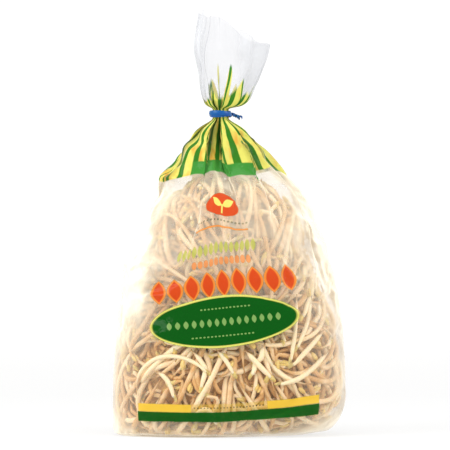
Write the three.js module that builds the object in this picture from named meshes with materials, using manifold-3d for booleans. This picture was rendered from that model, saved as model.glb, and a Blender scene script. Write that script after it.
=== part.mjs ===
// A bag of mung bean sprouts: a clear film bag packed with sprouts and closed at its neck by a twist tie.
// Millimetres, +Z up. The bag stands on its base, its front faces -Y, and the origin is on the
// ground under the middle of the bag. The pieces are the film bag, the tie and the heap of sprouts.

import * as THREE from "three";
import { mergeVertices } from "three/addons/utils/BufferGeometryUtils.js";
import Module from "manifold-3d";

const wasm = await Module();
wasm.setup();

// ---- driving dimensions ----

const bagHalfWidth = 81;
const bagHalfDepth = 47;
const bagHeight = 297;
const neckHeight = 224.5; // the middle of the tie
const neckRadius = 6.3;
const neckStraight = 4; // the neck stays straight this far above and below the tie's middle
const neckShift = -6; // the neck stands a little left of the base's middle
const filmWall = 0.8;
const throatRadius = 1.6; // the gathered film packs the neck all but solid
const throatSlope = 1.3; // how fast the throat opens away from the tie

// Film body: height, share of the half width, share of the half depth, and how far the middle leans in X.
const bodyStations = [
  [0, 1, 0.94, 0],
  [20, 1, 0.985, 0],
  [45, 1, 1, 0],
  [75, 0.97, 0.98, 0],
  [105, 0.925, 0.94, -1.5],
  [125, 0.875, 0.88, -2.5],
  [145, 0.785, 0.79, -1.5],
  [165, 0.67, 0.67, -1],
  [182, 0.555, 0.56, -3],
  [198, 0.4, 0.43, -5],
  [209, 0.275, 0.32, -6],
  [215, 0.185, 0.25, -6],
  [220.5, neckRadius / bagHalfWidth, neckRadius / bagHalfDepth, neckShift],
];
const bodySquareness = 2.35; // superellipse power of the packed bag's plan; the neck's is 2

// The base turns up to the side with a small radius at the left and a large one at the right corner.
const baseRadiusLeft = 5;
const baseRadiusRight = 32;

// Gathers: folds that start on the shoulder and close up towards the neck.
const foldCount = 10;
const foldStart = 146;
const foldShare = 0.3; // of the radius, at the foot of the neck
const neckFoldShare = 0.05;
const tailFoldShare = 0.3;

// Tail: the loose film above the tie, flattened front to back, with a flap that falls to the right.
const tailHalfWidth = 25;
const tailHalfDepth = 10;
const tailShift = -4;
const tailFlap = 10; // how much further the right side reaches
const tailDrop = 25; // how much lower the flap's edge lies
const tailFlare = 0.36; // power of the flare: small opens fast, just above the tie

// Sprouts
const sproutCount = 98;
const placingTries = 48;
const goldenAngle = 2.399963; // radians, spreads the sprouts evenly round the heap
const nearUp = new THREE.Vector3(0.05, 0.02, 1); // what a stem's heading is measured from
const stemRadius = 2.1;
const stemLengthLeast = 46;
const stemLengthMost = 72;
const beanRadius = 3.1;
const beanLength = 9;
const beanDip = 2.4; // how much deeper the bean's end lies than the stem
const rootRadius = 0.6;
const rootLength = 13;
const stemBend = 0.016; // largest curvature along the heap, 1/mm
const driftStart = 1.2; // radians: neighbours lie nearly alike, and their heading drifts over the heap
const driftTurn = 0.9;
const driftSpread = 1.1;
const heapTop = 185;
const heapShoulder = 143; // above this the heap rounds over to its top
const heapFoot = 2.6;
const heapFootRound = 4; // how much more the heap's foot rounds than the film's base
const heapCentre = new THREE.Vector3(-1, 0, 86);
const heapGap = 2.8; // from the film's outer face to the outermost sprout
const sideSlack = 9; // how much further the film stands off the sprouts at the shoulders' sides
const slackStart = 55;
const slackRise = 80;
const coreDepth = 8.8; // from the heap's envelope to the packed core that the sprouts stand out of
const coreLumps = 1.2;
const layerDepths = [2.1, 6.3]; // of a sprout's centre line below the heap's envelope

// Twist tie
const tieWidth = 3.4;
const tieThickness = 0.9;
const tieClearance = 0.4;
const tieTilt = 0.1; // slope of the two turns, which cross
const pigtailRoot = 1.5; // from the neck's film to the middle of the two ends, where they leave the tie
const pigtailTurn = 0.35; // radians round from +X towards the back, where the two ends leave the neck
const pigtailWay = new THREE.Vector3(0.62, 0.74, -0.25).normalize();
const pigtailLength = 11;
const pigtailTwists = 2.5;

// ---- shared helpers ----

const ringSteps = 4 * foldCount;

function clamp01(t) {
  return Math.min(1, Math.max(0, t));
}

function ease(t) {
  const c = clamp01(t);
  return c * c * (3 - 2 * c);
}

// A column of a table of stations at height z, on a smooth curve through the stations.
function along(stations, z, column) {
  const last = stations.length - 1;
  let i = 0;
  while (i < last - 1 && z > stations[i + 1][0]) i += 1;
  const row = (k) => stations[Math.min(last, Math.max(0, k))];
  const slope = (k) => (row(k + 1)[column] - row(k - 1)[column]) / (row(k + 1)[0] - row(k - 1)[0]);
  const step = row(i + 1)[0] - row(i)[0];
  const t = clamp01((z - row(i)[0]) / step);
  const startShare = (1 + 2 * t) * (1 - t) ** 2;
  const endShare = t * t * (3 - 2 * t);
  return (
    startShare * row(i)[column] +
    endShare * row(i + 1)[column] +
    t * (1 - t) ** 2 * step * slope(i) +
    t * t * (t - 1) * step * slope(i + 1)
  );
}

// Seeded draws from 0 to 1, the same ones on every machine.
function drawsFrom(seed) {
  let state = Math.imul(seed + 1, 2654435761) >>> 0;
  return () => {
    state = (Math.imul(state, 1664525) + 1013904223) >>> 0;
    return state / 4294967296;
  };
}

// A closed solid from rings of equal point counts: a fan at each end and quads between. From the ring
// backFrom on, the quads are cut along their other diagonal, so that a wall's two faces stay parallel.
function lofted(rings, startTip, endTip, backFrom = Infinity) {
  const count = rings[0].length;
  const positions = [startTip, ...rings.flat(), endTip].flatMap((p) => [p.x, p.y, p.z]);
  const at = (ring, k) => 1 + ring * count + (k % count);
  const tip = 1 + rings.length * count;
  const triangles = [];
  for (let k = 0; k < count; k += 1) {
    triangles.push(0, at(0, k + 1), at(0, k));
    triangles.push(tip, at(rings.length - 1, k), at(rings.length - 1, k + 1));
    for (let r = 0; r < rings.length - 1; r += 1) {
      const [a, b, c, d] = [at(r, k), at(r, k + 1), at(r + 1, k + 1), at(r + 1, k)];
      if (r < backFrom) triangles.push(a, b, c, a, c, d);
      else triangles.push(a, b, d, b, c, d);
    }
  }
  const geometry = new THREE.BufferGeometry();
  geometry.setAttribute("position", new THREE.Float32BufferAttribute(positions, 3));
  geometry.setIndex(triangles);
  return geometry;
}

function solidOf(geometry) {
  const bare = geometry.clone();
  bare.deleteAttribute("normal");
  bare.deleteAttribute("uv");
  const merged = mergeVertices(bare);
  return new wasm.Manifold(
    new wasm.Mesh({
      numProp: 3,
      vertProperties: merged.attributes.position.array,
      triVerts: new Uint32Array(merged.index.array),
    }),
  );
}

// Joins solids, and keeps the one outer body: sealed hollows are filled and loose scraps dropped.
function fused(solids) {
  const joined = solids.reduce((all, one) => all.add(one));
  const bodies = joined.decompose().sort((a, b) => b.volume() - a.volume());
  const mesh = bodies[0].getMesh();
  const geometry = new THREE.BufferGeometry();
  geometry.setAttribute("position", new THREE.BufferAttribute(mesh.vertProperties, 3));
  geometry.setIndex(new THREE.BufferAttribute(mesh.triVerts, 1));
  return geometry;
}

// A tube along points, its radius given at each point, that ends in a fan at both ends.
function tapered(points, radii, sides) {
  const curve = new THREE.CatmullRomCurve3(points);
  const rings = points.map((point, i) => {
    const before = points[Math.max(0, i - 1)];
    const after = points[Math.min(points.length - 1, i + 1)];
    const forward = after.clone().sub(before).normalize();
    const across = new THREE.Vector3().crossVectors(forward, new THREE.Vector3(0.31, 0.47, 0.83)).normalize();
    const up = new THREE.Vector3().crossVectors(forward, across);
    return Array.from({ length: sides }, (_, k) => {
      const turn = (2 * Math.PI * (k + 0.5)) / sides;
      return point
        .clone()
        .addScaledVector(across, radii[i] * Math.cos(turn))
        .addScaledVector(up, radii[i] * Math.sin(turn));
    });
  });
  const startTip = points[0].clone().addScaledVector(curve.getTangent(0), -radii[0]);
  const endTip = points.at(-1).clone().addScaledVector(curve.getTangent(1), radii.at(-1));
  return lofted(rings, startTip, endTip);
}

// ---- film bag ----

// Folds are uneven: each is a little wider or narrower than its neighbours.
function foldWave(u) {
  const uneven = u + 0.1 * Math.sin(2 * u + 1) + 0.06 * Math.sin(5 * u + 2);
  return Math.cos(foldCount * uneven);
}

function plan(halfWidth, halfDepth, power, u) {
  const c = Math.cos(u);
  const s = Math.sin(u);
  const radius = (Math.abs(c / halfWidth) ** power + Math.abs(s / halfDepth) ** power) ** (-1 / power);
  return [radius * c, radius * s];
}

// The film's outer face round the packed body and the neck, at angle u (0 is +X) and height z.
function bodyPoint(u, z) {
  const power = 2 + (bodySquareness - 2) * (1 - ease((z - 120) / 80));
  const [x, y] = plan(
    bagHalfWidth * along(bodyStations, z, 1),
    bagHalfDepth * along(bodyStations, z, 2),
    power,
    u,
  );
  const rising = ease((z - foldStart) / (neckHeight - 30 - foldStart));
  const closing = ease((z - (neckHeight - 26)) / 18);
  const share = foldShare * rising * (1 - closing) + neckFoldShare * closing;
  const fold = 1 - share * (0.5 - 0.5 * foldWave(u));
  return new THREE.Vector3(along(bodyStations, z, 3) + x * fold, y * fold, z);
}

function baseRadius(u) {
  return baseRadiusLeft + (baseRadiusRight - baseRadiusLeft) * (0.5 + 0.5 * Math.cos(u)) ** 3;
}

// The base's rounded edge, at an angle from 0 where it leaves the ground to 90 degrees at the side.
function basePoint(u, turn) {
  const radius = baseRadius(u);
  const side = bodyPoint(u, radius * (1 - Math.cos(turn)));
  const reach = Math.hypot(side.x, side.y);
  const inset = 1 - (radius * (1 - Math.sin(turn))) / reach;
  return new THREE.Vector3(side.x * inset, side.y * inset, side.z);
}

// The loose film above the tie: v runs from 0 at the neck to 1 at the edge of the mouth.
function tailPoint(u, v) {
  const neckTop = neckHeight + neckStraight;
  const right = (0.5 + 0.5 * Math.cos(u)) ** 2;
  const edge = bagHeight - 4 - tailDrop * right + 4 * Math.sin(2 * u + 1.2) ** 2;
  const flare = v ** tailFlare;
  const fold = tailFoldShare * ease(v * 3) * Math.sin(u) ** 2 * foldWave(u);
  const [neckX, neckY] = plan(neckRadius, neckRadius, 2, u);
  const mouthX = tailShift - neckShift + tailHalfWidth * Math.cos(u) + tailFlap * right;
  const mouthY = tailHalfDepth * (Math.sin(u) + fold * 1.6);
  const narrowing = 1 - 0.35 * ease((v - 0.55) / 0.45) * (1 - right);
  return new THREE.Vector3(
    neckShift + neckX * (1 - flare) + mouthX * flare * narrowing * (1 - 0.3 * fold),
    neckY * (1 - flare) + mouthY * flare,
    neckTop + v * (edge - neckTop),
  );
}

// The film's inner face behind a point of a course of its outer face. It lies straight inwards round
// the body and square to the film in the folded tail, and the throat closes it in at the neck.
function innerPoint(ring, k, inTail) {
  const outer = ring[k];
  const before = ring.at(k - 1);
  const after = ring[(k + 1) % ring.length];
  const centreX = inTail ? neckShift : along(bodyStations, outer.z, 3);
  const inward = inTail
    ? new THREE.Vector3(before.y - after.y, after.x - before.x, 0)
    : new THREE.Vector3(centreX - outer.x, -outer.y, 0);
  const point = outer.clone().addScaledVector(inward.normalize(), filmWall);
  const fromTie = Math.max(0, Math.abs(outer.z - neckHeight) - neckStraight / 2);
  const reach = Math.hypot(point.x - centreX, point.y);
  const kept = Math.min(1, (throatRadius + throatSlope * fromTie) / reach);
  return new THREE.Vector3(
    centreX + (point.x - centreX) * kept,
    point.y * kept,
    outer.z + filmWall * clamp01(1 - outer.z / 20),
  );
}

function bagFilm() {
  const angles = Array.from({ length: ringSteps }, (_, k) => (2 * Math.PI * k) / ringSteps);
  const baseTurns = [0, 0.55, 1.05].map((turn) => (u) => basePoint(u, turn));
  const bodyLevels = [26, 45, 72, 98, 120, 138, 152, 165, 177, 188, 198, 207, 212, 216.5, 220.5, 224.5, 228.5];
  const bodyRings = bodyLevels.map((z) => (u) => bodyPoint(u, z));
  const tailLevels = [0.05, 0.14, 0.28, 0.46, 0.64, 0.82, 1];
  const tailRings = tailLevels.map((v) => (u) => tailPoint(u, v));
  const courses = [...baseTurns, ...bodyRings, ...tailRings];
  const outer = courses.map((course) => angles.map(course));
  const tailFrom = courses.length - tailLevels.length;
  const inner = outer.map((ring, r) => ring.map((_, k) => innerPoint(ring, k, r >= tailFrom)));
  const rings = [...outer, ...inner.reverse()];
  return lofted(rings, new THREE.Vector3(0, 0, 0), new THREE.Vector3(0, 0, filmWall), outer.length);
}

// ---- sprouts ----

// True if a point lies within the heap's envelope, which follows the film a small gap inside it.
function inHeap(p) {
  if (p.z < heapFoot || p.z > heapTop) return false;
  const footRadius = baseRadius(Math.atan2(p.y, p.x)) + heapFootRound;
  const footRise = clamp01(1 - (p.z - heapFoot) / footRadius);
  const footInset = footRadius * (1 - Math.sqrt(1 - footRise ** 2));
  const over = clamp01((p.z - heapShoulder) / (heapTop - heapShoulder));
  const cap = Math.sqrt(1 - over ** 2);
  const inset = heapGap + footInset;
  const slack = sideSlack * ease((p.z - slackStart) / slackRise);
  const halfWidth = (bagHalfWidth * along(bodyStations, p.z, 1) - inset - slack) * cap;
  const halfDepth = (bagHalfDepth * along(bodyStations, p.z, 2) - inset) * cap;
  const x = Math.abs(p.x - along(bodyStations, p.z, 3)) / halfWidth;
  const y = Math.abs(p.y) / halfDepth;
  return x ** bodySquareness + y ** bodySquareness < 1;
}

// The point below the heap's envelope in the direction of p from the heap's centre, at a depth.
function onHeap(p, depth) {
  const ray = p.clone().sub(heapCentre).normalize();
  let low = 0;
  let high = 2 * bagHalfWidth;
  for (let i = 0; i < 24; i += 1) {
    const middle = (low + high) / 2;
    if (inHeap(heapCentre.clone().addScaledVector(ray, middle))) low = middle;
    else high = middle;
  }
  return heapCentre.clone().addScaledVector(ray, low - depth);
}

// The packed middle of the heap, lumpy where the sprouts under the outer ones press up.
function heapCore() {
  const around = 24;
  const levels = 12;
  const onCore = (level, k) => {
    const lift = (Math.PI * level) / levels;
    const u = (2 * Math.PI * k) / around;
    const way = new THREE.Vector3(
      bagHalfWidth * Math.sin(lift) * Math.cos(u),
      bagHalfDepth * Math.sin(lift) * Math.sin(u),
      -heapCentre.z * Math.cos(lift),
    );
    const lump = coreLumps * Math.sin(3 * k + level) * Math.cos(2 * level + k);
    return onHeap(heapCentre.clone().add(way), coreDepth + lump);
  };
  const rings = [];
  for (let level = 1; level < levels; level += 1) {
    rings.push(Array.from({ length: around }, (_, k) => onCore(level, k)));
  }
  return solidOf(lofted(rings, onCore(0, 0), onCore(levels, 0)));
}

// One try at a sprout's centre line: root tip, stem lying along the heap, and the nodding bean end.
// The root is sunk in the core, the stem bridges above it, and the bean shows at the other end.
function tryLine(index, draw) {
  const height = 1 - (2 * (index + draw())) / sproutCount;
  const turn = goldenAngle * index + 0.9 * (draw() - 0.5);
  const around = Math.sqrt(Math.max(0, 1 - height ** 2));
  const seat = heapCentre.clone().add(
    new THREE.Vector3(
      bagHalfWidth * around * Math.cos(turn),
      bagHalfDepth * around * Math.sin(turn),
      -heapCentre.z * height,
    ),
  );
  const middle = onHeap(seat, 0);
  const outward = new THREE.Vector3(
    middle.x / bagHalfWidth ** 2,
    middle.y / bagHalfDepth ** 2,
    (middle.z - heapCentre.z) / heapCentre.z ** 2,
  ).normalize();
  const level = new THREE.Vector3().crossVectors(outward, nearUp).normalize();
  const drift = Math.sin(middle.x / 34 + middle.z / 41) + Math.cos(middle.z / 29 - middle.y / 25);
  const turned = driftStart + driftTurn * drift + driftSpread * (draw() - 0.5);
  const heading = level.applyAxisAngle(outward, draw() < 0.5 ? turned : turned + Math.PI);
  const aside = new THREE.Vector3().crossVectors(outward, heading);
  const bend = stemBend * (2 * draw() - 1);
  const half = (stemLengthLeast + (stemLengthMost - stemLengthLeast) * draw()) / 2;
  const depth = layerDepths[index % layerDepths.length];
  const nod = draw() < 0.5 ? -1 : 1;
  const laid = (s, off, below) => {
    const spot = middle
      .clone()
      .addScaledVector(heading, s)
      .addScaledVector(aside, (bend * s * s) / 2 + off);
    return onHeap(spot, below);
  };
  return [
    laid(-half - rootLength, 2.5 * nod, coreDepth + 1.5),
    laid(-half, 0, depth + 0.5),
    laid(-half / 2, 0, depth),
    laid(0, 0, depth),
    laid(half / 2, 0, depth),
    laid(half, 0, depth),
    laid(half + 3.6, 3 * nod, depth + 0.5),
    laid(half + 1.5, beanLength * nod, depth + beanDip),
  ];
}

// Points along a line at about every stem's thickness, for measuring how far apart sprouts lie.
function spaced(line) {
  return line.slice(1).flatMap((end, i) => {
    const steps = Math.max(1, Math.round(end.distanceTo(line[i]) / (1.6 * stemRadius)));
    return Array.from({ length: steps }, (_, k) => line[i].clone().lerp(end, (k + 0.5) / steps));
  });
}

function roomBetween(points, others) {
  let least = Infinity;
  for (const p of points) {
    for (const q of others) least = Math.min(least, p.distanceToSquared(q));
  }
  return Math.sqrt(least);
}

// The sprouts' centre lines: each takes, of a few seeded tries, the one that lies clearest of the rest.
function sproutLines() {
  const taken = [];
  const lines = [];
  for (let index = 0; index < sproutCount; index += 1) {
    const draw = drawsFrom(index);
    let best = { room: -1 };
    for (let attempt = 0; attempt < placingTries; attempt += 1) {
      const line = tryLine(index, draw);
      const points = spaced(line);
      const room = taken.length ? roomBetween(points, taken) : Infinity;
      if (room > best.room) best = { room, line, points };
    }
    lines.push(best.line);
    taken.push(...best.points);
  }
  return lines;
}

function sprout(line) {
  const radii = [
    rootRadius,
    stemRadius * 0.8,
    stemRadius,
    stemRadius,
    stemRadius * 0.95,
    stemRadius * 0.8,
    beanRadius,
    beanRadius * 0.7,
  ];
  return solidOf(tapered(line, radii, 4));
}

function sproutHeap() {
  return fused([heapCore(), ...sproutLines().map(sprout)]);
}

// ---- twist tie ----

// One turn of the flat tie round the neck, sloped by tilt and set out by one thickness per lap.
function tieTurn(tilt, lap) {
  const sides = 24;
  const inner = neckRadius + tieClearance + lap * tieThickness * 0.55;
  const outer = inner + tieThickness;
  const ring = (u) => {
    const rise = neckHeight + tilt * inner * Math.sin(u + 0.6);
    const corner = (radius, up) =>
      new THREE.Vector3(neckShift + radius * Math.cos(u), radius * Math.sin(u), rise + up);
    return [
      corner(inner, -tieWidth / 2),
      corner(outer, -tieWidth / 2),
      corner(outer, tieWidth / 2),
      corner(inner, tieWidth / 2),
    ];
  };
  const corners = Array.from({ length: sides }, (_, k) => ring((2 * Math.PI * k) / sides)).flat();
  const triangles = [];
  for (let k = 0; k < sides; k += 1) {
    for (let c = 0; c < 4; c += 1) {
      const here = 4 * k + c;
      const beside = 4 * k + ((c + 1) % 4);
      const next = (4 * (k + 1)) % (4 * sides);
      triangles.push(here, next + c, next + ((c + 1) % 4));
      triangles.push(here, next + ((c + 1) % 4), beside);
    }
  }
  const geometry = new THREE.BufferGeometry();
  geometry.setAttribute(
    "position",
    new THREE.Float32BufferAttribute(corners.flatMap((p) => [p.x, p.y, p.z]), 3),
  );
  geometry.setIndex(triangles);
  return solidOf(geometry);
}

// The tie's two ends, twisted round each other and pointing out to the right and back.
function pigtail() {
  const steps = 14;
  const reach = neckRadius + pigtailRoot;
  const start = new THREE.Vector3(
    neckShift + reach * Math.cos(pigtailTurn),
    reach * Math.sin(pigtailTurn),
    neckHeight,
  );
  const across = new THREE.Vector3().crossVectors(pigtailWay, new THREE.Vector3(0, 0, 1)).normalize();
  const up = new THREE.Vector3().crossVectors(pigtailWay, across);
  const rings = [];
  for (let i = 0; i <= steps; i += 1) {
    const along = (pigtailLength * i) / steps;
    const twist = (Math.PI * pigtailTwists * i) / steps;
    const wide = tieWidth * 0.42;
    const slim = tieThickness * 0.8;
    rings.push(
      [[1, 1], [-1, 1], [-1, -1], [1, -1]].map(([a, b]) => {
        const x = a * wide;
        const y = b * slim;
        return start
          .clone()
          .addScaledVector(pigtailWay, along)
          .addScaledVector(across, x * Math.cos(twist) - y * Math.sin(twist))
          .addScaledVector(up, x * Math.sin(twist) + y * Math.cos(twist));
      }),
    );
  }
  const startTip = start.clone().addScaledVector(pigtailWay, -0.2);
  const endTip = start.clone().addScaledVector(pigtailWay, pigtailLength + 0.2);
  return solidOf(lofted(rings, startTip, endTip));
}

function twistTie() {
  return fused([tieTurn(tieTilt, 0), tieTurn(-tieTilt, 1), pigtail()]);
}

// ---- the bag and what it holds ----

function piece(name, geometry, material) {
  const mesh = new THREE.Mesh(geometry, new THREE.MeshStandardMaterial(material));
  mesh.name = name;
  return mesh;
}

const bagOfSprouts = new THREE.Group();
bagOfSprouts.add(
  piece("bag_film", bagFilm(), {
    color: 0xf4f2ec,
    roughness: 0.2,
    metalness: 0,
    transparent: true,
    opacity: 0.3,
  }),
  piece("twist_tie", twistTie(), { color: 0x1646a0, roughness: 0.35, metalness: 0 }),
  piece("sprout_heap", sproutHeap(), { color: 0xeadfc4, roughness: 0.5, metalness: 0 }),
);

export default bagOfSprouts;
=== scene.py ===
import math
from functools import partial

import bpy
import numpy as np
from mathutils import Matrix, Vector, noise


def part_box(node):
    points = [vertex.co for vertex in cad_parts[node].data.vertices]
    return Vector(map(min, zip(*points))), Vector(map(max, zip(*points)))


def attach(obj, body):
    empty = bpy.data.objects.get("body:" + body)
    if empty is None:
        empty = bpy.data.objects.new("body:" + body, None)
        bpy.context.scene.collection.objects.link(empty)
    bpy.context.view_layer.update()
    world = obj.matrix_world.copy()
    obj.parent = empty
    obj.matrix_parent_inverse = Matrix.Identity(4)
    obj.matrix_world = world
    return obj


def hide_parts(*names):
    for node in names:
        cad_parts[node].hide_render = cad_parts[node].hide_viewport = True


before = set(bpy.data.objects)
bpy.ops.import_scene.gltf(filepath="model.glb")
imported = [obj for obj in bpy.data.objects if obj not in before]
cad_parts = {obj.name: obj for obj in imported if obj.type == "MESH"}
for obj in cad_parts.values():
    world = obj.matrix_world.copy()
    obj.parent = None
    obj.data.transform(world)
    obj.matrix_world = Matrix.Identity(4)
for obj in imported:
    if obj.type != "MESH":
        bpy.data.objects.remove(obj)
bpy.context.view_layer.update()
bagLow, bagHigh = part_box("bag_film")
mm = 0.001


def linearOf(hexColour):                       # an sRGB hex colour as the linear values shaders take
    parts = [int(hexColour[i:i + 2], 16) / 255 for i in (1, 3, 5)]
    return [c / 12.92 if c < 0.04045 else ((c + 0.055) / 1.055) ** 2.4 for c in parts] + [1.0]


def addNode(tree, kind, inputs=None, **settings):    # a node with its settings, values and links
    node = tree.nodes.new("ShaderNode" + kind)
    for name, value in settings.items():
        setattr(node, name, value)
    for name, value in (inputs or {}).items():
        if isinstance(value, bpy.types.Node):
            value = next(output for output in value.outputs if output.enabled)
        if isinstance(value, bpy.types.NodeSocket):
            tree.links.new(value, node.inputs[name])
        else:
            node.inputs[name].default_value = value
    return node


def newMaterial(name):                         # an empty material, and what adds nodes to it
    material = bpy.data.materials.new(name)
    material.use_nodes = True
    material.node_tree.nodes.clear()
    return material, partial(addNode, material.node_tree)


def clamp01(t):
    return np.clip(t, 0.0, 1.0)


def ease(t):
    c = clamp01(t)
    return c * c * (3 - 2 * c)


def rising(z, start, over):                    # 0 up to the start, and 1 from that much further on
    return ease((z - start) / over)


def bump(t, middle, width):
    return np.exp(-((t - middle) / width) ** 2)


def ringAngles(count):
    return 2 * math.pi * np.arange(count) / count


def xyz(x, y, z):
    return np.stack([x, y, z], axis=-1)


def gridQuads(rows, columns):                  # the faces between rings of points, closed round
    r, k = np.meshgrid(np.arange(rows - 1), np.arange(columns), indexing="ij")
    here, beside = r * columns + k, r * columns + (k + 1) % columns
    return np.stack([here, beside, beside + columns, here + columns], axis=-1).reshape(-1, 4)


def fanTriangles(tip, first, columns, turned=False):   # the faces from a tip point to the ring beside it
    k = np.arange(columns)
    here, beside = first + k, first + (k + 1) % columns
    return np.stack([np.full(columns, tip), *((beside, here) if turned else (here, beside))], axis=-1)


def addMesh(name, points, faceSets, material):    # points in mm, and arrays of quads or of triangles
    mesh = bpy.data.meshes.new(name)
    faceSets = [np.asarray(faces, dtype=np.int32) for faces in faceSets if len(faces)]
    sides = np.concatenate([np.full(len(faces), faces.shape[1]) for faces in faceSets])
    corners = np.concatenate([faces.ravel() for faces in faceSets])
    mesh.vertices.add(len(points))
    mesh.vertices.foreach_set("co", (np.asarray(points) * mm).ravel())
    mesh.loops.add(len(corners))
    mesh.loops.foreach_set("vertex_index", corners)
    mesh.polygons.add(len(sides))
    mesh.polygons.foreach_set("loop_start", np.concatenate([[0], np.cumsum(sides)[:-1]]).astype(np.int32))
    mesh.polygons.foreach_set("use_smooth", np.ones(len(sides), dtype=bool))
    mesh.materials.append(material)
    mesh.update(calc_edges=True)
    piece = bpy.data.objects.new(name, mesh)
    bpy.context.collection.objects.link(piece)
    return piece


def addShade(piece, name, values):             # a number for each point, for the materials to read
    layer = piece.data.attributes.new(name, "FLOAT", "POINT")
    layer.data.foreach_set("value", np.asarray(values, dtype=np.float32))


def finished(piece, node):
    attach(piece, "root")
    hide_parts(node)


bagShape = {
    "halfWidth": (bagHigh[0] - bagLow[0]) / 2 / mm,
    "halfDepth": (bagHigh[1] - bagLow[1]) / 2 / mm,
    "height": bagHigh[2] / mm,
    "neckHeight": 224.5,         # the middle of the tie
    "neckRadius": 6.3,
    "neckStraight": 4,
    "neckShift": -6,
    "squareness": 2.35,
    "baseRadiusLeft": 5,
    "baseRadiusRight": 32,
    "tailHalfWidth": 25,
    "tailHalfDepth": 10,
    "tailShift": -4,
    "tailFlap": 10,
    "tailDrop": 25,
    "tailFlare": 0.36,
    # height, share of the half width, share of the half depth, lean in X
    "stations": np.array([
        [0, 1, 0.94, 0],
        [20, 1, 0.985, 0],
        [45, 1, 1, 0],
        [75, 0.97, 0.98, 0],
        [105, 0.925, 0.94, -1.5],
        [125, 0.875, 0.88, -2.5],
        [145, 0.785, 0.79, -1.5],
        [165, 0.67, 0.67, -1],
        [182, 0.555, 0.56, -3],
        [198, 0.4, 0.43, -5],
        [209, 0.275, 0.32, -6],
        [215, 0.185, 0.25, -6],
        [220.5, 6.3 / 81, 6.3 / 47, -6],
    ]),
}


def stationAt(z, column):                      # a column of the stations on a smooth curve at heights z
    rows = bagShape["stations"]
    heights, values = rows[:, 0], rows[:, column]
    last = len(heights) - 1
    after = np.minimum(np.arange(last + 1) + 1, last)
    before = np.maximum(np.arange(last + 1) - 1, 0)
    slopes = (values[after] - values[before]) / (heights[after] - heights[before])
    z = np.asarray(z, dtype=float)
    i = np.clip(np.searchsorted(heights, z, side="left") - 1, 0, last - 1)
    step = heights[i + 1] - heights[i]
    t = clamp01((z - heights[i]) / step)
    return (
        (1 - ease(t)) * values[i]
        + ease(t) * values[i + 1]
        + t * (1 - t) ** 2 * step * slopes[i]
        + t * t * (t - 1) * step * slopes[i + 1]
    )


def planRadius(halfWidth, halfDepth, power, u):
    across = np.abs(np.cos(u) / halfWidth) ** power
    deep = np.abs(np.sin(u) / halfDepth) ** power
    return (across + deep) ** (-1 / power)


def bodyRadius(u, z, inset=0.0):               # from the leaning axis to the film's outer face
    power = 2 + (bagShape["squareness"] - 2) * (1 - ease((z - 120) / 80))
    halfWidth = bagShape["halfWidth"] * stationAt(z, 1) - inset
    halfDepth = bagShape["halfDepth"] * stationAt(z, 2) - inset
    return planRadius(halfWidth, halfDepth, power, u)


def baseRadius(u):
    left, right = bagShape["baseRadiusLeft"], bagShape["baseRadiusRight"]
    return left + (right - left) * (0.5 + 0.5 * np.cos(u)) ** 3


view = {
    "millimetresAPixel": 0.7,
    "frame": 450,
    "middle": (225, 225),        # pixel that the camera looks at
    "foot": (229, 434.7),        # pixel of the part's origin
    "distance": 3.2,
    "elevation": 0.6,            # degrees
    "sensor": 36,
}


def addCamera():
    scale = view["millimetresAPixel"] * mm
    width = view["frame"] * scale
    target = Vector((
        (view["middle"][0] - view["foot"][0]) * scale,
        0,
        (view["foot"][1] - view["middle"][1]) * scale,
    ))
    tilt = math.radians(view["elevation"])
    away = Vector((0, -math.cos(tilt), math.sin(tilt)))
    data = bpy.data.cameras.new("camera")
    data.sensor_width = view["sensor"]
    data.lens = view["sensor"] * view["distance"] / width
    camera = bpy.data.objects.new("camera", data)
    camera.location = target + away * view["distance"]
    camera.rotation_mode = "QUATERNION"
    camera.rotation_quaternion = (-away).to_track_quat("-Z", "Y")
    bpy.context.collection.objects.link(camera)
    bpy.context.scene.camera = camera


studio = {
    "lights": [
        # name, place in metres, size, power in watts
        ("softbox_left", (-1.4, -0.9, 0.9), 1.0, 22),
        ("softbox_right", (1.5, -0.7, 0.8), 0.9, 14),
        ("softbox_top", (0.0, -0.5, 1.8), 1.2, 17),
    ],
    "surround": 0.4,             # how bright it is above the wall
    "wallAway": 4300,            # the wall goes all round, in millimetres from the part
    "wallHigh": 3200,
    "bend": 700,                 # radius from the floor up into the wall
    "sides": 64,
    "sunk": 0.02,                # millimetres that the floor lies under the part
    "floorGlow": 0.7,
    "wallGlow": 0.89,
    "glowFrom": 0.6,             # metres away where the glow starts to rise from the floor's to the wall's
    "glowUpTo": 2.8,
    "aim": (0, 0, 0.14),
}


def addLights():
    for name, place, size, watts in studio["lights"]:
        data = bpy.data.lights.new(name, "AREA")
        data.size = size
        data.energy = watts
        lamp = bpy.data.objects.new(name, data)
        lamp.location = place
        lamp.rotation_mode = "QUATERNION"
        lamp.rotation_quaternion = (Vector(studio["aim"]) - lamp.location).to_track_quat("-Z", "Y")
        bpy.context.collection.objects.link(lamp)
    world = bpy.data.worlds.new("studio")
    world.use_nodes = True
    world.node_tree.nodes.clear()
    add = partial(addNode, world.node_tree)
    glow = add("Background", {"Color": linearOf("#FFFFFF"), "Strength": studio["surround"]})
    add("OutputWorld", {"Surface": glow})
    bpy.context.scene.world = world


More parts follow.
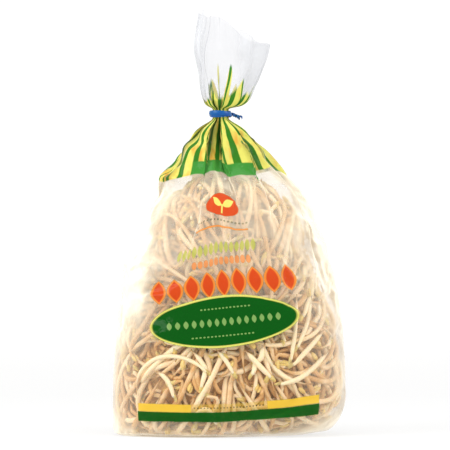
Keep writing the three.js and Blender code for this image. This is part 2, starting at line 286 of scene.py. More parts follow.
def addFloor():                # a round white studio floor that bends up into a wall on all sides
    material, add = newMaterial("litStudioFloor")            # opal acrylic lit from behind: hardly a shadow
    lit = add("MapRange", {
        "Value": add("VectorMath", {0: add("NewGeometry")}, operation="LENGTH"),
        "From Min": studio["glowFrom"],
        "From Max": studio["glowUpTo"],
        "To Min": studio["floorGlow"],
        "To Max": studio["wallGlow"],
    })
    paint = add("BsdfPrincipled", {
        "Base Color": linearOf("#7C7C7B"),
        "Roughness": 0.9,
        "Specular IOR Level": 0.2,
        "Emission Color": linearOf("#FFFFFF"),
        "Emission Strength": lit,
    })
    add("OutputMaterial", {"Surface": paint})
    bend, away, sides = studio["bend"], studio["wallAway"], studio["sides"]
    profile = [(1, 0)]
    profile += [
        (away - bend + bend * math.sin(a), bend - bend * math.cos(a))
        for a in np.linspace(0, math.pi / 2, 10)
    ]
    profile.append((away, studio["wallHigh"]))
    points = [
        (r * math.cos(a), r * math.sin(a), z - studio["sunk"])
        for r, z in profile for a in ringAngles(sides)
    ]
    middle = [tuple(range(sides))]
    floor = addMesh("studio_floor", points, [gridQuads(len(profile), sides), middle], material)


addCamera()
addLights()
addFloor()
print("camera, lights and floor are in place")


heapShape = {
    "centre": np.array([-1.0, 0.0, 86.0]),
    "sideSlack": 9,              # how much further the film stands off at the shoulders' sides
    "slackStart": 55,
    "slackRise": 80,
    "step": 2,                   # degrees between the directions in which its reach is kept
}

# the heap's solid keeps this far inside the film, and the sprouts that are seen press up to it
solidEnvelope = {"gap": 2.8, "foot": 2.6, "footRound": 4, "shoulder": 143, "top": 185}
lookEnvelope = {"gap": 1.5, "foot": 0.9, "footRound": 0.5, "shoulder": 157, "top": 190}

outerSprouts = {                 # the ones that the heap's solid has
    "count": 98,
    "tries": 48,
    "goldenAngle": 2.399963,
    "nearUp": np.array([0.05, 0.02, 1.0]),
    "stemRadius": 2.1,
    "lengthLeast": 46,
    "lengthMost": 72,
    "beanLength": 9,
    "beanDip": 2.4,
    "rootLength": 13,
    "bend": 0.016,
    "driftStart": 1.2,
    "driftTurn": 0.9,
    "driftSpread": 1.1,
    "coreDepth": 8.8,
    "layerDepths": [2.1, 6.3],
}

sproutLook = {
    "moreSprouts": 900,
    "seed": 11,
    "deepest": 20,               # sprouts that would lie deeper are left out
    "pointsALine": 26,
    "stemRadius": 1.8,
    "hookLength": 8,
    "dive": 16,                  # how much deeper than its middle a sprout's ends may want to lie
    "stiffness": 4,
    "squeeze": 0.72,             # stems press into each other by the rest of their thickness
    "tries": 4,                  # each loose sprout takes the place, of a few, that lies furthest out
    "shadedDeeper": 0.07,              # painted shade: how much darker and browner in colour for each mm further in
}


def insideHeap(p, envelope):
    z = p[:, 2]
    footRadius = baseRadius(np.arctan2(p[:, 1], p[:, 0])) + envelope["footRound"]
    footRise = clamp01(1 - (z - envelope["foot"]) / footRadius)
    footInset = footRadius * (1 - np.sqrt(1 - footRise ** 2))
    over = clamp01((z - envelope["shoulder"]) / (envelope["top"] - envelope["shoulder"]))
    cap = np.sqrt(1 - over ** 2)
    inset = envelope["gap"] + footInset
    slack = heapShape["sideSlack"] * rising(z, heapShape["slackStart"], heapShape["slackRise"])
    halfWidth = np.maximum((bagShape["halfWidth"] * stationAt(z, 1) - inset - slack) * cap, 1e-6)
    halfDepth = np.maximum((bagShape["halfDepth"] * stationAt(z, 2) - inset) * cap, 1e-6)
    x = np.abs(p[:, 0] - stationAt(z, 3)) / halfWidth
    y = np.abs(p[:, 1]) / halfDepth
    power = bagShape["squareness"]
    return (z >= envelope["foot"]) & (z <= envelope["top"]) & (x ** power + y ** power < 1)


def heapReaches(envelope):                     # how far the envelope is from its centre, each way round
    turns = np.radians(np.arange(-180, 181, heapShape["step"]))
    lifts = np.radians(np.arange(-90, 91, heapShape["step"]))
    turn, lift = np.meshgrid(turns, lifts)
    ray = xyz(np.cos(lift) * np.cos(turn), np.cos(lift) * np.sin(turn), np.sin(lift)).reshape(-1, 3)
    low = np.zeros(len(ray))
    high = np.full(len(ray), 2 * bagShape["halfWidth"])
    for _ in range(22):
        middle = (low + high) / 2
        within = insideHeap(heapShape["centre"] + ray * middle[:, None], envelope)
        low = np.where(within, middle, low)
        high = np.where(within, high, middle)
    return low.reshape(turn.shape)


def onHeap(p, depth, reaches):                 # below the heap's envelope, seen from its centre
    ray = p - heapShape["centre"]
    ray = ray / np.linalg.norm(ray, axis=1)[:, None]
    column = (np.degrees(np.arctan2(ray[:, 1], ray[:, 0])) + 180) / heapShape["step"]
    row = (np.degrees(np.arcsin(np.clip(ray[:, 2], -1, 1))) + 90) / heapShape["step"]
    c = np.minimum(column.astype(int), reaches.shape[1] - 2)
    r = np.minimum(row.astype(int), reaches.shape[0] - 2)
    across, up = column - c, row - r
    below = reaches[r, c] * (1 - across) + reaches[r, c + 1] * across
    above = reaches[r + 1, c] * (1 - across) + reaches[r + 1, c + 1] * across
    reach = below * (1 - up) + above * up
    return heapShape["centre"] + ray * (reach - depth)[:, None]


solidReaches = heapReaches(solidEnvelope)
lookReaches = heapReaches(lookEnvelope)


def drawsFrom(seed):                           # seeded draws from 0 to 1
    state = ((seed + 1) * 2654435761) % 2 ** 32
    while True:
        state = (state * 1664525 + 1013904223) % 2 ** 32
        yield state / 2 ** 32


def turnedAbout(vector, axis, angle):
    c, s = math.cos(angle), math.sin(angle)
    return vector * c + np.cross(axis, vector) * s + axis * axis.dot(vector) * (1 - c)


def unit(vector):
    return vector / np.linalg.norm(vector)


def layingAt(height, turn, heading):           # the spot on the heap, and the ways along and aside
    around = math.sqrt(max(0, 1 - height ** 2))
    size = np.array([bagShape["halfWidth"], bagShape["halfDepth"], heapShape["centre"][2]])
    way = np.array([around * math.cos(turn), around * math.sin(turn), -height])
    spot = onHeap((heapShape["centre"] + size * way)[None, :], 0, solidReaches)[0]
    outward = unit(np.array([spot[0], spot[1], spot[2] - heapShape["centre"][2]]) / size ** 2)
    level = unit(np.cross(outward, outerSprouts["nearUp"]))
    along = turnedAbout(level, outward, heading(spot))
    return spot, along, np.cross(outward, along)


def outerLines():                              # centre lines of the outer sprouts, by the solid's own rule
    own = outerSprouts
    taken = np.zeros((0, 3))
    lines = []
    for index in range(own["count"]):
        draw = drawsFrom(index)
        best = None
        for _ in range(own["tries"]):
            height = 1 - 2 * (index + next(draw)) / own["count"]
            turn = own["goldenAngle"] * index + 0.9 * (next(draw) - 0.5)
            spread = own["driftSpread"] * (next(draw) - 0.5)
            flip = 0 if next(draw) < 0.5 else math.pi

            def heading(spot):
                drift = math.sin(spot[0] / 34 + spot[2] / 41) + math.cos(spot[2] / 29 - spot[1] / 25)
                return own["driftStart"] + own["driftTurn"] * drift + spread + flip

            spot, along, aside = layingAt(height, turn, heading)
            bend = own["bend"] * (2 * next(draw) - 1)
            half = (own["lengthLeast"] + (own["lengthMost"] - own["lengthLeast"]) * next(draw)) / 2
            depth = own["layerDepths"][index % 2]
            nod = -1 if next(draw) < 0.5 else 1
            places = [
                (-half - own["rootLength"], 2.5 * nod, own["coreDepth"] + 1.5),
                (-half, 0, depth + 0.5),
                (-half / 2, 0, depth),
                (0, 0, depth),
                (half / 2, 0, depth),
                (half, 0, depth),
                (half + 3.6, 3 * nod, depth + 0.5),
                (half + 1.5, own["beanLength"] * nod, depth + own["beanDip"]),
            ]
            flat = np.array([spot + along * s + aside * (bend * s * s / 2 + off) for s, off, _ in places])
            line = onHeap(flat, np.array([deep for _, _, deep in places]), solidReaches)
            spaced = []
            for start, end in zip(line[:-1], line[1:]):
                steps = max(1, round(float(np.linalg.norm(end - start)) / (1.6 * own["stemRadius"])))
                spaced += [start + (end - start) * (k + 0.5) / steps for k in range(steps)]
            spaced = np.array(spaced)
            room = 1e9
            if len(taken):
                room = float(np.min(np.sum((spaced[:, None] - taken[None]) ** 2, axis=2)))
            if best is None or room > best[0]:
                best = (room, line, spaced)
        lines.append(best[1])
        taken = np.vstack([taken, best[2]])
    return lines


def resampled(points, count):                  # evenly spaced along a smooth curve through points
    ends = np.vstack([2 * points[0] - points[1], points, 2 * points[-1] - points[-2]])
    fine = []
    for i in range(1, len(ends) - 2):
        a, b, c, d = ends[i - 1:i + 3]
        for t in np.linspace(0, 1, 10, endpoint=False):
            fine.append(0.5 * (2 * b + (c - a) * t + (2 * a - 5 * b + 4 * c - d) * t ** 2
                               + (3 * b - a - 3 * c + d) * t ** 3))
    fine = np.array(fine + [points[-1]])
    run = np.concatenate([[0], np.cumsum(np.linalg.norm(np.diff(fine, axis=0), axis=1))])
    at = np.linspace(0, run[-1], count)
    return np.stack([np.interp(at, run, fine[:, k]) for k in range(3)], axis=1)


def settled(line, wish, radii, taken, takenRadii):      # pushes a line in until it lies below those before it
    surface = onHeap(line, 0, lookReaches)
    inward = heapShape["centre"] - surface
    inward /= np.linalg.norm(inward, axis=1)[:, None]
    need = np.maximum(wish, radii)
    middle = surface.mean(axis=0)
    reach = np.max(np.linalg.norm(surface - middle, axis=1)) + sproutLook["deepest"] + 6
    close = np.linalg.norm(taken - middle, axis=1) < reach
    if close.any():
        offset = taken[close][None] - surface[:, None]
        deep = np.einsum("nmk,nk->nm", offset, inward)
        aside = np.sum(offset ** 2, axis=2) - deep ** 2
        touch = (sproutLook["squeeze"] * (radii[:, None] + takenRadii[close][None])) ** 2
        under = deep + np.sqrt(np.maximum(touch - aside, 0))
        need = np.maximum(need, np.where(aside < touch, under, 0).max(axis=1))
    depth = need.copy()
    for _ in range(sproutLook["stiffness"]):       # a stem is stiff, so it bridges between what it meets
        depth[1:-1] = np.maximum(need[1:-1], (depth[:-2] + depth[2:]) / 2)
    return surface + inward * depth[:, None], depth


def looseLine(draws):                          # an inner sprout's line, and how deep it wants to lie
    own = outerSprouts
    height = 2 * draws.random() - 1
    turn = 2 * math.pi * draws.random()
    start = 2 * math.pi * draws.random()
    spot, along, aside = layingAt(height, turn, lambda _: start)
    stem = draws.uniform(own["lengthLeast"], own["lengthMost"])
    length = own["rootLength"] + stem + sproutLook["hookLength"]
    count = sproutLook["pointsALine"]
    run = np.linspace(0, length, count)
    heading = draws.normal(0, 0.012) * (run - length / 2)
    heading += draws.normal(0, 0.3) * np.sin(2 * math.pi * (run / length + draws.random()))
    hook = ease((run - own["rootLength"] - stem) / sproutLook["hookLength"])
    heading += draws.choice([-1, 1]) * draws.uniform(1.0, 2.3) * hook
    heading += draws.normal(0, 0.8) * ease(1 - run / own["rootLength"])
    step = length / (count - 1)
    a = np.cumsum(np.cos(heading)) * step
    b = np.cumsum(np.sin(heading)) * step
    a -= a[count // 2]
    b -= b[count // 2]
    flat = spot + along * a[:, None] + aside * b[:, None]
    dive = sproutLook["dive"] * draws.random() ** 1.5
    highest = draws.uniform(0.2, 0.8)
    wish = dive * ((run / length - highest) / 0.5) ** 2 + draws.uniform(0, 2)
    return flat, wish


frontStems = [                   # long pale stems that lie outermost on the front: X and Z along each
    [(-66, 28), (-65, 41), (-58, 50), (-48, 54.5), (-35, 54), (-23, 49), (-17, 44)],
    [(50, 100), (49, 76), (45, 53)],
    [(62, 99), (58, 80), (50, 62)],
    [(69, 74), (59, 61), (47, 49)],
    [(72, 60), (61, 46), (50, 38), (38, 35)],
    [(66, 122), (62, 96), (55, 84)],
    [(11, 60), (21, 49), (30, 40)],
    [(-9, 60), (-2, 51), (3, 43)],
    [(-52, 45), (-44, 36), (-40, 26)],
    [(26, 65), (23, 51), (17, 42)],
    [(-27, 60), (-18, 46), (-20, 33)],
    [(-30, 9), (-17, 16), (-9, 7)],
    [(18, 5), (26, 14), (40, 12)],
]


def frontLine(course, count):                  # a course across the front, laid on the sprouts' envelope
    course = np.array(course, dtype=float)
    x, z = course.T
    halfWidth = bagShape["halfWidth"] * stationAt(z, 1)
    halfDepth = bagShape["halfDepth"] * stationAt(z, 2)
    power = bagShape["squareness"]
    across = clamp01(np.abs(x - stationAt(z, 3)) / halfWidth) ** power
    y = -halfDepth * np.maximum(1 - across, 0.01) ** (1 / power)
    return resampled(xyz(x, y, z), count)


def stemRadii(count, stem, draws):             # thin root, full stem, slimmer neck under the bean
    share = np.linspace(0, 1, count)
    root = outerSprouts["rootLength"] / (outerSprouts["rootLength"] + 60)
    thick = stem * (0.22 + 0.78 * ease((share - 0.25 * root) / (1.3 * root)))
    thick *= 1 - 0.3 * ease((share - 0.82) / 0.16)
    return thick * (1 + 0.05 * np.sin(9 * share + 6 * draws.random()))


def packedSprouts():                           # every sprout as line, radii, mean depth and its own tone
    draws = np.random.default_rng(sproutLook["seed"])
    count = sproutLook["pointsALine"]
    taken = np.zeros((0, 3))
    takenRadii = np.zeros(0)
    sprouts = []
    front = [frontLine(course, count) for course in frontStems]
    starts = front + [resampled(line, count) for line in outerLines()]
    total = len(starts) + sproutLook["moreSprouts"]
    for index in range(total):
        stem = sproutLook["stemRadius"] * draws.uniform(0.8, 1.12)
        radii = stemRadii(count, stem, draws)
        if index < len(front):
            line, depth = settled(starts[index], np.zeros(count), radii, taken, takenRadii)
        elif index < len(starts):
            wish = np.full(count, 0.3 + 3.6 * (index % 2))
            wish[:5] += np.linspace(7, 0, 5)
            line, depth = settled(starts[index], wish, radii, taken, takenRadii)
        else:
            tries = [looseLine(draws) for _ in range(sproutLook["tries"])]
            laid = [settled(flat, wish, radii, taken, takenRadii) for flat, wish in tries]
            line, depth = min(laid, key=lambda one: np.mean(one[1]))
        if np.median(depth) > sproutLook["deepest"]:
            continue
        taken = np.vstack([taken, line])
        takenRadii = np.concatenate([takenRadii, radii])
        tone = draws.random() * (0.2 if index < len(front) else 1)
        sprouts.append({"line": line, "radii": radii, "depth": float(depth.min()), "tone": tone})
    return sprouts


def tubes(lines, radii, sides):                # closed tubes: points, quads, end triangles, share along
    lines, radii = np.array(lines), np.array(radii)
    total, count, _ = lines.shape
    forward = np.gradient(lines, axis=1)
    forward /= np.linalg.norm(forward, axis=2)[..., None]
    outward = lines - heapShape["centre"]
    across = np.cross(forward, outward)
    across /= np.linalg.norm(across, axis=2)[..., None] + 1e-9
    up = np.cross(across, forward)
    turn = ringAngles(sides)
    ring = (
        across[:, :, None] * np.cos(turn)[None, None, :, None]
        + up[:, :, None] * np.sin(turn)[None, None, :, None]
    )
    skin = lines[:, :, None] + ring * radii[:, :, None, None]
    tips = np.stack([
        lines[:, 0] - forward[:, 0] * radii[:, 0, None],
        lines[:, -1] + forward[:, -1] * radii[:, -1, None],
    ], axis=1)
    points = np.concatenate([skin.reshape(total, -1, 3), tips], axis=1)
    perTube = count * sides + 2
    first = fanTriangles(count * sides, 0, sides, turned=True)
    end = fanTriangles(count * sides + 1, (count - 1) * sides, sides)
    start = (np.arange(total) * perTube)[:, None, None]
    quads = (gridQuads(count, sides)[None] + start).reshape(-1, 4)
    caps = (np.concatenate([first, end])[None] + start).reshape(-1, 3)
    share = np.concatenate([np.repeat(np.linspace(0, 1, count), sides), [0, 1]])
    return points.reshape(-1, 3), quads, caps, np.tile(share, total)


beanLook = {
    "half": (3.9, 1.95, 1.25),   # half length, half width and half thickness of one seed leaf
    "apart": 0.95,
    "rings": 6,
    "sides": 8,
}


def beans(sprouts):                            # two seed leaves at the end of each stem
    rings, sides = beanLook["rings"], beanLook["sides"]
    lift = np.linspace(0, math.pi, rings + 1)[1:-1]
    lift, turn = np.meshgrid(lift, ringAngles(sides), indexing="ij")
    ball = xyz(np.cos(lift), np.sin(lift) * np.cos(turn), np.sin(lift) * np.sin(turn)).reshape(-1, 3)
    ball = np.concatenate([ball, [(1, 0, 0), (-1, 0, 0)]])
    quads = gridQuads(rings - 1, sides)[:, ::-1]
    caps = np.concatenate([
        fanTriangles(len(ball) - 2, 0, sides),
        fanTriangles(len(ball) - 1, (rings - 2) * sides, sides, turned=True),
    ])
    allPoints, allQuads, allCaps = [], [], []
    for index, sprout in enumerate(sprouts):
        line = sprout["line"]
        forward = unit(line[-1] - line[-3])
        outward = unit(line[-1] - heapShape["centre"])
        flat = unit(np.cross(outward, forward))
        thick = np.cross(forward, flat)
        size = 0.8 + 0.3 * sprout["tone"]
        for side in (-1, 1):
            middle = line[-1] + forward * beanLook["half"][0] * 0.5 * size
            middle = middle + thick * side * beanLook["apart"] * size
            lobe = ball * np.array(beanLook["half"]) * size
            skin = middle + lobe[:, :1] * forward + lobe[:, 1:2] * flat + lobe[:, 2:] * thick
            room = np.linalg.norm(onHeap(skin, 0, lookReaches) - heapShape["centre"], axis=1)
            over = np.max(np.linalg.norm(skin - heapShape["centre"], axis=1) - room)
            middle = middle - outward * max(0, over)       # no seed leaf pokes through the film
            start = len(allPoints) * len(ball)
            allPoints.append(middle + lobe[:, :1] * forward + lobe[:, 1:2] * flat + lobe[:, 2:] * thick)
            allQuads.append(quads + start)
            allCaps.append(caps + start)
    return np.concatenate(allPoints), np.concatenate(allQuads), np.concatenate(allCaps), len(ball) * 2


sproutColours = {name: linearOf(colour) for name, colour in {
    "stem": "#FCE6BC",
    "stemWarmAndShaded": "#D9A868",
    "root": "#B5833F",
    "seedLeaf": "#DDB04C",
    "seedLeafPale": "#F0D68C",
    "shade": "#A06A2E",
    "shadeLight": "#D0A058",
}.items()}


def sproutFleshMaterial():     # moist raw shoot: translucent cream that glows where light gets in, wet sheen, and painted shade on stems that lie deeper
    own = sproutColours
    material, add = newMaterial("moistSproutFlesh")
    tone = add("Attribute", attribute_name="tone").outputs["Fac"]
    part = add("Attribute", attribute_name="part").outputs["Fac"]
    place = add("NewGeometry")
    # a change of shade every 9 mm of stem, and fine ribs under the skin
    blotch = add("TexNoise", {"Vector": place, "Scale": 1 / (9 * mm), "Detail": 2.0})
    grain = add("TexNoise", {"Vector": place, "Scale": 1 / (0.9 * mm), "Detail": 3.0})
    # each stem's own tone, plus painted shade for how deep it lies, draws it towards the darker, browner
    # colour
    warmthAndShade = add("Math", {0: tone, 1: blotch}, operation="MULTIPLY")
    warmAndShaded = add("MapRange", {"Value": warmthAndShade, "From Min": 0.06, "From Max": 0.36})
    rooted = add("MapRange", {"Value": part, "From Min": 0.2, "From Max": 0.02})
    isSeed = add("Math", {0: part, 1: 1.2}, operation="GREATER_THAN")
    seed = add("Mix", {"Factor": blotch, 6: own["seedLeaf"], 7: own["seedLeafPale"]}, data_type="RGBA")
    colour = own["stem"]
    for share, layer in ((warmAndShaded, own["stemWarmAndShaded"]), (rooted, own["root"]), (isSeed, seed)):
        colour = add("Mix", {"Factor": share, 6: colour, 7: layer}, data_type="RGBA")
    flesh = add("BsdfPrincipled", {
        "Base Color": colour,
        "Roughness": 0.36,
        "IOR": 1.38,
        "Subsurface Weight": 0.35,
        "Subsurface Radius": (1.0, 0.7, 0.4),
        "Subsurface Scale": 1.6 * mm,
        "Normal": add("Bump", {"Height": grain, "Strength": 0.25, "Distance": 0.3 * mm}),
    })
    add("OutputMaterial", {"Surface": flesh})
    return material


def heapMiddleMaterial():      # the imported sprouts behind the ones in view: matt and shaded brown
    own = sproutColours
    material, add = newMaterial("packedSproutsInShade")
    strands = add("TexNoise", {
        "Vector": add("NewGeometry"),
        "Scale": 1 / (7 * mm),                       # two stems wide
        "Detail": 3.0,
        "Distortion": 1.2,
    })
    share = add("MapRange", {"Value": strands, "From Min": 0.35, "From Max": 0.65})
    flesh = add("BsdfPrincipled", {
        "Base Color": add("Mix", {"Factor": share, 6: own["shade"], 7: own["shadeLight"]}, data_type="RGBA"),
        "Roughness": 0.6,
        "Normal": add("Bump", {"Height": strands, "Strength": 0.8, "Distance": 2 * mm}),
    })
    add("OutputMaterial", {"Surface": flesh})
    return material


sproutLayers = [
    # name, deepest start in mm, sides of a stem, points along it
    ("sprouts_outer", 2.6, 10, 26),
    ("sprouts_second", 5.5, 8, 22),
    ("sprouts_third", 10.0, 6, 18),
    ("sprouts_inner", 99.0, 5, 13),
]


def addSprouts(sprouts):
    material = sproutFleshMaterial()
    shallow = 0
    for name, deepest, sides, count in sproutLayers:
        members = [s for s in sprouts if shallow <= s["depth"] < deepest]
        shallow = deepest
        lines = [resampled(s["line"], count) for s in members]
        at = np.linspace(0, 1, count)
        was = np.linspace(0, 1, sproutLook["pointsALine"])
        radii = [np.interp(at, was, s["radii"]) for s in members]
        points, quads, caps, share = tubes(lines, radii, sides)
        # painted shade: a stem's tone grows with its depth, so deeper stems are darker and browner
        toneAndShade = [0.6 * s["tone"] + sproutLook["shadedDeeper"] * s["depth"] for s in members]
        tone = np.repeat(toneAndShade, count * sides + 2)
        seedPoints, seedQuads, seedCaps, perSeed = beans(members)
        quads = np.concatenate([quads, seedQuads + len(points)])
        caps = np.concatenate([caps, seedCaps + len(points)])
        tone = np.concatenate([tone, np.repeat(toneAndShade, perSeed)])
        share = np.concatenate([share, np.full(len(seedPoints), 1.5)])
        points = np.concatenate([points, seedPoints])
        piece = addMesh(name, points, [quads, caps], material)
        addShade(piece, "tone", tone)
        addShade(piece, "part", share)
        finished(piece, "sprout_heap")
        print(f"{name}: {len(members)} sprouts, {2 * len(quads) + len(caps)} triangles")


middleLook = {"around": 96, "levels": 60, "depth": 13, "lumps": 2.2, "lumpSize": 9}


def heapSkin(depth, lumps):                    # a closed skin at a depth below the heap's envelope
    around, levels = middleLook["around"], middleLook["levels"]
    lift = math.pi * np.arange(1, levels) / levels
    lift, turn = np.meshgrid(lift, ringAngles(around), indexing="ij")
    way = xyz(
        bagShape["halfWidth"] * np.sin(lift) * np.cos(turn),
        bagShape["halfDepth"] * np.sin(lift) * np.sin(turn),
        -heapShape["centre"][2] * np.cos(lift),
    ).reshape(-1, 3)
    poles = np.array([[0, 0, -1.0], [0, 0, 1.0]]) * heapShape["centre"][2]
    way = np.concatenate([way, poles]) + heapShape["centre"]
    skin = onHeap(way, depth, lookReaches)
    lump = np.array([noise.noise(Vector(p) / middleLook["lumpSize"]) for p in skin])
    skin = onHeap(way, depth + lumps * lump, lookReaches)
    low = fanTriangles(len(skin) - 2, 0, around, turned=True)
    top = fanTriangles(len(skin) - 1, (levels - 2) * around, around)
    return skin, [gridQuads(levels - 1, around), np.concatenate([low, top])]


def addHeapMiddle():
    skin, faceSets = heapSkin(middleLook["depth"], middleLook["lumps"])
    piece = addMesh("sprouts_middle", skin, faceSets, heapMiddleMaterial())
    finished(piece, "sprout_heap")


sprouts = packedSprouts()
addSprouts(sprouts)
addHeapMiddle()
print("the heap of sprouts is in place")


filmLook = {
    "columns": 184,              # each doubled by the subdivision
    "baseRows": 5,
    "turnRows": 7,
    "bodyRows": 80,
    "neckRows": 6,
    "tailRows": 28,
    "inset": 0.45,               # the film lies this far inside its solid's outer face
    "foldCount": 10,
    "foldStart": 112,            # the gathers start as soft waves here
    "foldFull": 204,
    "frontStart": 50,            # how much higher they start in the middle of the front
    "frontAt": 1.5 * math.pi,
    "frontWide": 0.5,
    "foldTurn": 1.8,             # past 1 the film folds back under itself
    "foldDepth": 6.8,
    "neckFoldDepth": 1.5,
    "valleyAt": 4.6,             # where the front parts into two bundles, in radians from +X
    "valleyWide": 0.18,
    "valleyDepth": 6.5,
    "valleyRise": (170, 24),     # from this height, over this much
    "valleyFall": (214, 8),
    "closing": (206, 15),        # all folds are as shallow as the neck's above this
    "tailFoldDepth": 3.0,
    "tailRagged": 4,
    "drawnFoot": (20, 20),       # the sides are drawn out to the bag's width from here up
    "drawnTop": 6,               # and up to this far below the tie
    "drawnMost": 1.35,
    "tailSmoothing": 6,
    "tailSmoothed": (236, 12),
    "foldedFront": (192, 16),    # painted shade darkens the ink in the front's valley from here up, and in no fold above the tie
    "foldedEnd": (232, 6),
    "smallFolds": 31,
    "smallFoldDepth": 0.9,
    "crumple": 2.6,              # of the loose tail
    "crumpleSize": 15,
    "crumpleSeed": 7,
}


def foldsAt(u, z):                             # how far round, and how far in, the gathers move the film
    own = filmLook
    uneven = u + 0.1 * np.sin(2 * u + 1) + 0.06 * np.sin(5 * u + 2)
    rate = 1 + 0.2 * np.cos(2 * u + 1) + 0.3 * np.cos(5 * u + 2)
    wave = own["foldCount"] * uneven
    start = own["foldStart"] + 14 * np.sin(3 * u + 1) + 9 * np.sin(7 * u + 2)
    start = start + own["frontStart"] * bump(u, own["frontAt"], own["frontWide"])
    grown = clamp01((z - start) / (own["foldFull"] - start))
    turn = own["foldTurn"] * grown ** 1.7
    side = np.where(np.floor(wave / (2 * math.pi)) % 3 == 1, -1, 1)
    skew = side * 1.4 * ease(turn / 1.2)
    within = 0.5 - 0.5 * np.cos(wave - skew)
    fine = own["smallFolds"] * uneven + 2 * np.sin(3 * u)
    fineIn = 1 - np.abs(np.sin(fine / 2))
    around = turn / (own["foldCount"] * rate) * np.sin(wave)
    around += 0.5 * grown ** 2 / own["smallFolds"] * np.sin(fine)
    return around, within, fineIn, grown


def filmPoints():                              # the film's rows of points from the ground up
    own, shape = filmLook, bagShape
    noise.seed_set(own["crumpleSeed"])             # without it the crumples would follow the clock
    u = math.pi / 2 + ringAngles(own["columns"])
    edge = baseRadius(u)
    courses = []
    for turn in np.linspace(0, math.pi / 2, own["turnRows"] + 1):
        z = edge * (1 - math.cos(turn))
        reach = bodyRadius(u, z, own["inset"]) - edge * (1 - math.sin(turn))
        courses.append((xyz(reach * np.cos(u), reach * np.sin(u), z), z))
    rim = courses[0][0]
    ground = [(rim * share, 0 * u) for share in np.linspace(1, 0, own["baseRows"] + 1)[-2:0:-1]]
    neckFoot = shape["neckHeight"] - shape["neckStraight"]
    for share in np.linspace(0, 1, own["bodyRows"] + 1)[1:]:
        z = edge + (neckFoot - edge) * share
        courses.append((bodyCourse(u, z), z))
    for share in np.linspace(0, 1, own["neckRows"] + 1)[1:]:
        z = np.full(len(u), neckFoot + 2 * shape["neckStraight"] * share)
        courses.append((bodyCourse(u, z), z))
    for share in np.linspace(0, 1, own["tailRows"] + 1)[1:]:
        courses.append(tailCourse(u, np.full(len(u), share ** 1.15)))
    rows, heights = zip(*ground, *courses)
    return np.array(rows), np.array(heights), u


def bodyCourse(u, z):
    own = filmLook
    around, within, fineIn, grown = foldsAt(u, z)
    turned = u + around
    reach = bodyRadius(turned, z, own["inset"])
    depth = np.minimum(own["foldDepth"] * grown ** 1.7, 0.36 * reach)
    closing = rising(z, *own["closing"])
    depth = depth * (1 - closing) + own["neckFoldDepth"] * closing
    valley = bump(u, own["valleyAt"], own["valleyWide"])
    valley *= rising(z, *own["valleyRise"]) * (1 - rising(z, *own["valleyFall"]))
    reach = reach - own["valleyDepth"] * valley
    reach = reach - depth * within - own["smallFoldDepth"] * grown ** 2 * fineIn
    return xyz(stationAt(z, 3) + reach * np.cos(turned), reach * np.sin(turned), z)


def tailCourse(u, v):
    own, shape = filmLook, bagShape
    neckTop = shape["neckHeight"] + shape["neckStraight"]
    around, within, fineIn, _ = foldsAt(u, np.full(len(u), float(own["foldFull"])))
    opened = ease(v * 2.5)
    turned = u + around * (1 - 0.7 * opened)
    right = (0.5 + 0.5 * np.cos(turned)) ** 2
    edge = shape["height"] - own["tailRagged"] - shape["tailDrop"] * right
    edge += own["tailRagged"] * np.sin(2 * turned + 1.2) ** 2
    flare = v ** shape["tailFlare"]
    neck = shape["neckRadius"] - own["inset"]
    narrowing = 1 - 0.35 * ease((v - 0.55) / 0.45) * (1 - right)
    mouthX = shape["tailShift"] - shape["neckShift"] + shape["tailHalfWidth"] * np.cos(turned)
    mouthX += shape["tailFlap"] * right
    x = neck * np.cos(turned) * (1 - flare) + mouthX * flare * narrowing
    y = neck * np.sin(turned) * (1 - flare) + shape["tailHalfDepth"] * np.sin(turned) * flare * 1.3
    reach = np.hypot(x, y)
    depth = own["neckFoldDepth"] + (own["tailFoldDepth"] - own["neckFoldDepth"]) * opened
    depth = depth * within + own["smallFoldDepth"] * fineIn * (1 - 0.8 * opened)
    less = 1 - np.minimum(depth, 0.45 * reach) / reach
    z = neckTop + v * (edge - neckTop)
    points = xyz(shape["neckShift"] + x * less, y * less, z)
    for i, point in enumerate(points):             # the loose film is crumpled into flat facets
        share = float(opened[i]) * own["crumple"]
        cell = Vector((point[0], point[1], point[2] * 0.6)) / own["crumpleSize"]
        facet = noise.voronoi(cell)[0]
        push = share * (facet[0] - facet[1] * 0.5 - 0.1)
        bend = noise.noise_vector(cell * 0.8) * share * 0.9
        points[i] += np.array(bend) + push * np.array([math.cos(turned[i]), math.sin(turned[i]), 0])
    return points, z


filmSim = {
    "frames": 20,
    "stuff": {                   # a thin film: it bends easily and hardly stretches
        "quality": 5,
        "mass": 0.05,
        "tension_stiffness": 25,
        "compression_stiffness": 25,
        "shear_stiffness": 12,
        "bending_stiffness": 0.03,
        "tension_damping": 8,
        "compression_damping": 8,
        "air_damping": 2,
    },
    "gravity": 0.1,
    "friction": 5,
    "growth": 0.08,              # how much more film there is than its first shape, so that it wrinkles
    "growthFoot": (35, 115),     # a share of it below the first height, all of it above the second
    "growthLow": 0.3,
    "growthTop": (196, 215),     # all of it below the first, none above the second
    "growthGround": 12,          # none on the ground, all of its share from here up
    "growthTail": (240, 20),     # and again above the tie: from this height, over this much
    "tailLoose": (234, 14),      # the tail is let go likewise
    "heldNeck": (209, 220),      # the tie holds the film from here up
    "heldFoot": (1, 4),          # and the ground holds it below here
    "tailHold": 0.3,
    "heapDepth": 0.6,            # the sprouts' envelope that it lies on, below the outermost ones
    "gap": 0.6,
    "swell": 2.5,
}


def groupOf(piece, name, weights):             # a vertex group from an array of weights
    group = piece.vertex_groups.new(name=name)
    for index in np.nonzero(weights > 0)[0]:
        group.add([int(index)], float(weights[index]), "REPLACE")
    return name


